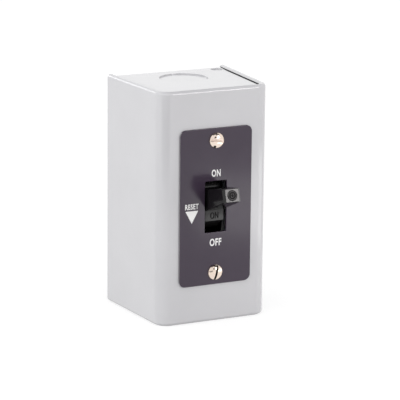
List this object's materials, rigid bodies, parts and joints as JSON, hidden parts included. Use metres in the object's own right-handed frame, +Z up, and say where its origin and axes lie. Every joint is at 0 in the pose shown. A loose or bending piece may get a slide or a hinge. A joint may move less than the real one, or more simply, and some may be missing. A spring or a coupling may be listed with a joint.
{
  "type": "manual motor starter",
  "caption": "Toggle-operated manual motor starter in a surface-mounted grey steel box, with a dark plate, a lift-off cover and a thermal trip behind it.",
  "frame": {"origin": "centre of the back plate's wall face", "axes": "+X to the right and +Z up for someone facing the starter, +Y into the wall; at rest the handle is up, in ON"},
  "size_m": [0.0598, 0.0692, 0.1064],
  "materials": {
    "grey_enamel": "smooth light grey enamel",
    "dark_plate": "satin charcoal plate",
    "plated_screws": "bright pale brass plating",
    "black_moulding": "satin black moulding",
    "fibre_sheet": "dull pressed fibre",
    "zinc_steel": "clear zinc plating",
    "green_screw": "dyed green plating",
    "copper_strip": "rolled copper alloy",
    "silver_contact": "pale contact alloy",
    "spring_steel": "oil-tempered spring steel",
    "heater_alloy": "resistance strip, slightly browned",
    "trip_steel": "machined trip parts"
  },
  "bodies": {
    "base": {"base_box": "grey_enamel", "ground_screw": "green_screw", "strap_brackets": "zinc_steel", "strap_screws": "zinc_steel", "mounting_strap": "zinc_steel", "handle_pin": "trip_steel", "switch_housing": "black_moulding", "rear_insulator": "fibre_sheet", "housing_rivets": "trip_steel", "line_terminal_left": "copper_strip", "line_terminal_right": "copper_strip", "load_terminal_left": "copper_strip", "load_terminal_right": "copper_strip", "heater_link": "copper_strip", "terminal_clamps": "zinc_steel", "terminal_screws": "plated_screws", "fixed_contacts": "silver_contact", "opening_spring": "spring_steel", "heater_element": "heater_alloy", "heater_screws": "plated_screws", "solder_pot": "trip_steel", "pawl_pin": "trip_steel", "pawl_spring": "spring_steel"},
    "cover": {"cover_shell": "grey_enamel", "nameplate": "dark_plate", "cover_screws": "plated_screws"},
    "toggle": {"toggle_handle": "black_moulding"},
    "carrier": {"contact_carrier": "black_moulding", "contact_bridges": "copper_strip", "moving_contacts": "silver_contact", "contact_springs": "spring_steel"},
    "ratchet": {"ratchet_wheel": "trip_steel"},
    "pawl": {"trip_pawl": "trip_steel"}
  },
  "joints": [
    {"name": "cover_pull", "type": "slide", "parent": "base", "child": "cover", "axis": [0, -1, 0], "range_m": [0, 0.075]},
    {"name": "toggle_swing", "type": "hinge", "parent": "base", "child": "toggle", "pos_m": [0, -0.0394, 0], "axis": [1, 0, 0], "range_deg": [0, 33]},
    {"name": "carrier_slide", "type": "slide", "parent": "base", "child": "carrier", "axis": [0, 0, 1], "range_m": [0, 0.00456], "deforming": ["opening_spring"]},
    {"name": "ratchet_spin", "type": "hinge", "parent": "base", "child": "ratchet", "pos_m": [-0.01675, -0.043, 0.005], "axis": [0, 1, 0], "range_deg": [-24, 0]},
    {"name": "pawl_swing", "type": "hinge", "parent": "base", "child": "pawl", "pos_m": [-0.01675, -0.043, 0.0128], "axis": [0, 1, 0], "range_deg": [0, 18]}
  ],
  "couplings": [
    {"joint": "carrier_slide", "follows": "toggle_swing", "m_per_rad": 0.0078894},
    {"joint": "pawl_swing", "follows": "ratchet_spin", "ratio": -0.735}
  ]
}
